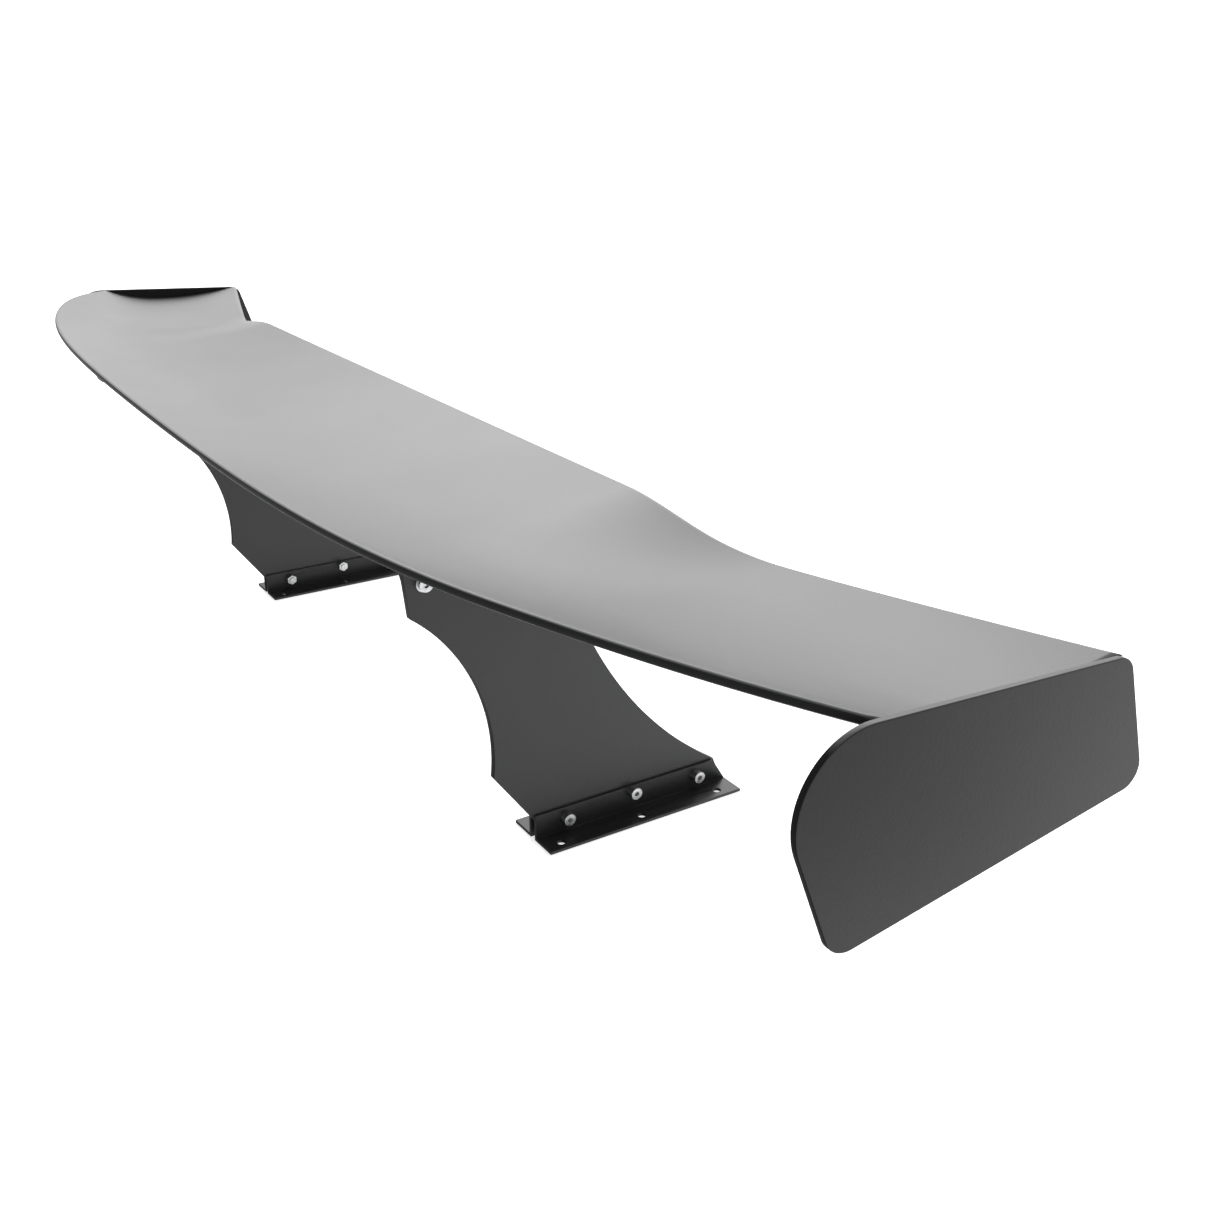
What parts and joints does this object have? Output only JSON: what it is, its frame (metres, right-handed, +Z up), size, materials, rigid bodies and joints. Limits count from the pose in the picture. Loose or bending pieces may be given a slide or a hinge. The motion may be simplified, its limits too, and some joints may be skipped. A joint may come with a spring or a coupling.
{
  "type": "racing rear wing",
  "caption": "Adjustable rear wing: hollow swept aluminium blade with end plates, pivoted between swept stands on angle feet, with a curved slot that sets its angle.",
  "frame": {"origin": "middle of the base holes, on the centre plane of the wing and on the plane of the boot lid under the feet", "axes": "+X to the car's right along the span, +Y in the car's driving direction (front edge of the blade), +Z up"},
  "size_m": [1.448, 0.3636, 0.3058],
  "materials": {
    "blade_black": "satin black powder coat over formed aluminium sheet",
    "end_plate_black": "satin black powder coat over aluminium plate",
    "stand_black": "satin black powder coat over aluminium plate",
    "base_black": "satin black anodised aluminium angle",
    "lug_black": "satin black powder coat",
    "bare_aluminium": "mill finish, hidden inside the blade",
    "black_screws": "black oxide steel",
    "zinc_washers": "bright zinc plate",
    "zinc_bolts": "bright stainless steel"
  },
  "bodies": {
    "stands": {"stand_left": "stand_black", "stand_right": "stand_black", "base_angle_left_outer": "base_black", "base_angle_left_inner": "base_black", "base_angle_right_outer": "base_black", "base_angle_right_inner": "base_black", "cross_bolts_left": "zinc_bolts", "cross_bolts_right": "zinc_bolts", "cross_nuts_left": "zinc_bolts", "cross_nuts_right": "zinc_bolts", "pivot_bolt_left": "zinc_bolts", "pivot_bolt_right": "zinc_bolts", "pivot_washers_left": "zinc_washers", "pivot_washers_right": "zinc_washers", "pivot_nut_left": "zinc_bolts", "pivot_nut_right": "zinc_bolts"},
    "wing": {"upper_skin": "blade_black", "lower_skin": "blade_black", "front_spar": "bare_aluminium", "rear_spar": "bare_aluminium", "mount_rib_left": "bare_aluminium", "mount_rib_right": "bare_aluminium", "tip_rib_left": "bare_aluminium", "tip_rib_right": "bare_aluminium", "lug_left": "lug_black", "lug_right": "lug_black", "lug_screws_left": "black_screws", "lug_screws_right": "black_screws", "end_plate_left": "end_plate_black", "end_plate_right": "end_plate_black", "end_angle_left": "lug_black", "end_angle_right": "lug_black", "end_screws_left": "black_screws", "end_screws_right": "black_screws", "setting_bolt_left": "zinc_bolts", "setting_bolt_right": "zinc_bolts", "setting_washers_left": "zinc_washers", "setting_washers_right": "zinc_washers", "setting_nut_left": "zinc_bolts", "setting_nut_right": "zinc_bolts"}
  },
  "joints": [
    {"name": "angle_of_attack", "type": "hinge", "parent": "stands", "child": "wing", "pos_m": [0, -0.087, 0.243], "axis": [-1, 0, 0], "range_deg": [0, 12]}
  ]
}
